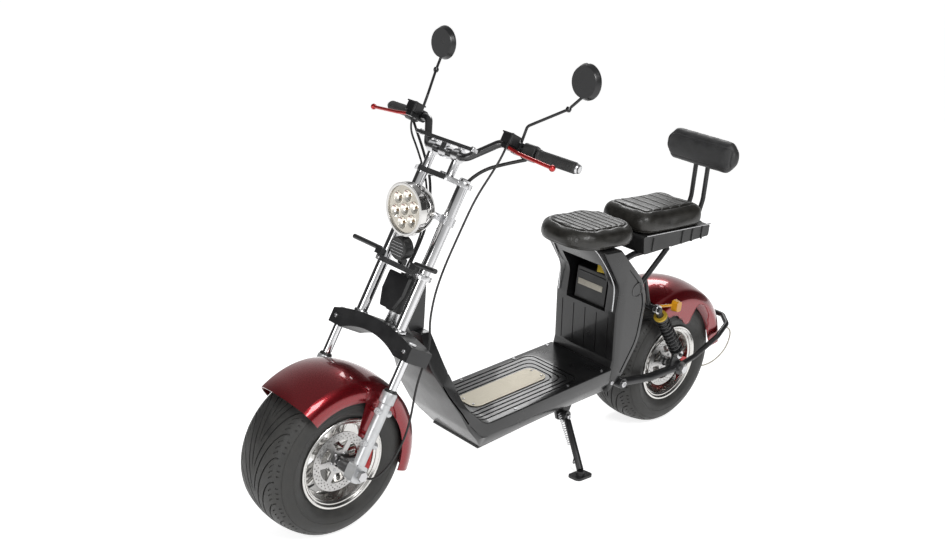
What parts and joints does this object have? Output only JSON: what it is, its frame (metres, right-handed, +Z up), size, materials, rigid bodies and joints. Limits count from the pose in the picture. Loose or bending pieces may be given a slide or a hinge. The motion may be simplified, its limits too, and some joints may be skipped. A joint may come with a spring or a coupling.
{
  "type": "electric chopper scooter",
  "caption": "Electric chopper scooter with fat tyres, raked fork, step-through floor, two saddles and a backrest, leaning on its side stand.",
  "frame": {"origin": "on the floor, under the middle of the parked scooter's bounding box", "axes": "+X towards the front wheel, +Y towards the scooter's left side where the stand is, +Z up"},
  "size_m": [1.9529, 0.7784, 1.3639],
  "materials": {
    "arch_black": "satin black",
    "axle_steel": "zinc-plated steel",
    "bar_black": "gloss black",
    "battery_black": "black case with blank tags",
    "body_black": "moulded black plastic, fine grain",
    "bracket_silver": "bright alloy",
    "caliper_red": "red anodised",
    "control_black": "moulded black plastic",
    "crossbar_silver": "bright alloy",
    "disc_steel": "ground steel",
    "fender_red": "deep metallic red, clear-coated",
    "floor_plate_silver": "brushed, slightly warm",
    "fork_chrome": "polished chrome",
    "frame_black": "satin black powder coat",
    "grip_rubber": "matt ribbed rubber",
    "horn_black": "black with a metal rim",
    "lamp_chrome": "polished chrome shell",
    "lamp_lens": "clear lens over round cells",
    "lever_red": "red anodised, gloss",
    "master_black": "satin black",
    "mirror_black": "black shell",
    "pad_black": "dark grey-black padded cover",
    "rim_alloy": "machined and clear-coated cast alloy",
    "saddle_black": "black stitched imitation leather",
    "shock_black": "black coils on a steel rod",
    "signal_amber": "amber lamp",
    "signal_black": "black stalk and slim lamp",
    "slider_silver": "silver paint, satin",
    "stand_black": "satin black",
    "tray_black": "black plastic tray",
    "tyre": "matt moulded tyre rubber with a road tread",
    "yoke_alloy": "polished cast alloy"
  },
  "bodies": {
    "chassis": {"rear_axle": "axle_steel", "rear_fender": "fender_red", "rear_caliper": "caliper_red", "main_frame": "frame_black", "leg_shield": "body_black", "seat_riser": "body_black", "battery": "battery_black", "floor_plate": "floor_plate_silver", "under_frame": "frame_black", "swingarm": "frame_black", "rear_shocks": "shock_black", "seat_rail": "frame_black", "front_saddle": "saddle_black", "rear_saddle": "saddle_black", "rear_seat_tray": "tray_black", "backrest_pad": "pad_black", "rear_lamps": "signal_amber"},
    "steering": {"front_axle": "axle_steel", "fork_sliders": "slider_silver", "fork_tubes": "fork_chrome", "fork_arch": "arch_black", "lower_yoke": "yoke_alloy", "upper_yoke": "yoke_alloy", "handlebar": "bar_black", "grips": "grip_rubber", "switch_pods": "control_black", "brake_masters": "master_black", "brake_levers": "lever_red", "mirrors": "mirror_black", "crossbar": "crossbar_silver", "headlamp": "lamp_chrome", "headlamp_lens": "lamp_lens", "lamp_bracket": "bracket_silver", "horn": "horn_black", "front_signals": "signal_black", "front_fender": "fender_red", "front_caliper": "caliper_red"},
    "front_wheel": {"front_tyre": "tyre", "front_rim": "rim_alloy", "front_disc": "disc_steel"},
    "rear_wheel": {"rear_tyre": "tyre", "rear_rim": "rim_alloy", "rear_disc": "disc_steel"},
    "side_stand": {"side_stand": "stand_black"}
  },
  "joints": [
    {"name": "steering_turn", "type": "hinge", "parent": "chassis", "child": "steering", "pos_m": [0.52671, -0.04435, 0.60055], "axis": [-0.4226, 0.0821, 0.9026], "range_deg": [-38, 38]},
    {"name": "front_wheel_spin", "type": "hinge", "parent": "steering", "child": "front_wheel", "pos_m": [0.7465, -0.07807, 0.23012], "axis": [0, 0.9959, -0.0906], "continuous": true},
    {"name": "rear_wheel_spin", "type": "hinge", "parent": "chassis", "child": "rear_wheel", "pos_m": [-0.6635, -0.07807, 0.23012], "axis": [0, 0.9959, -0.0906], "continuous": true},
    {"name": "side_stand_fold", "type": "hinge", "parent": "chassis", "child": "side_stand", "pos_m": [-0.1435, 0.01916, 0.15099], "axis": [-0.2448, 0.9671, 0.0696], "range_deg": [0, 121]}
  ]
}
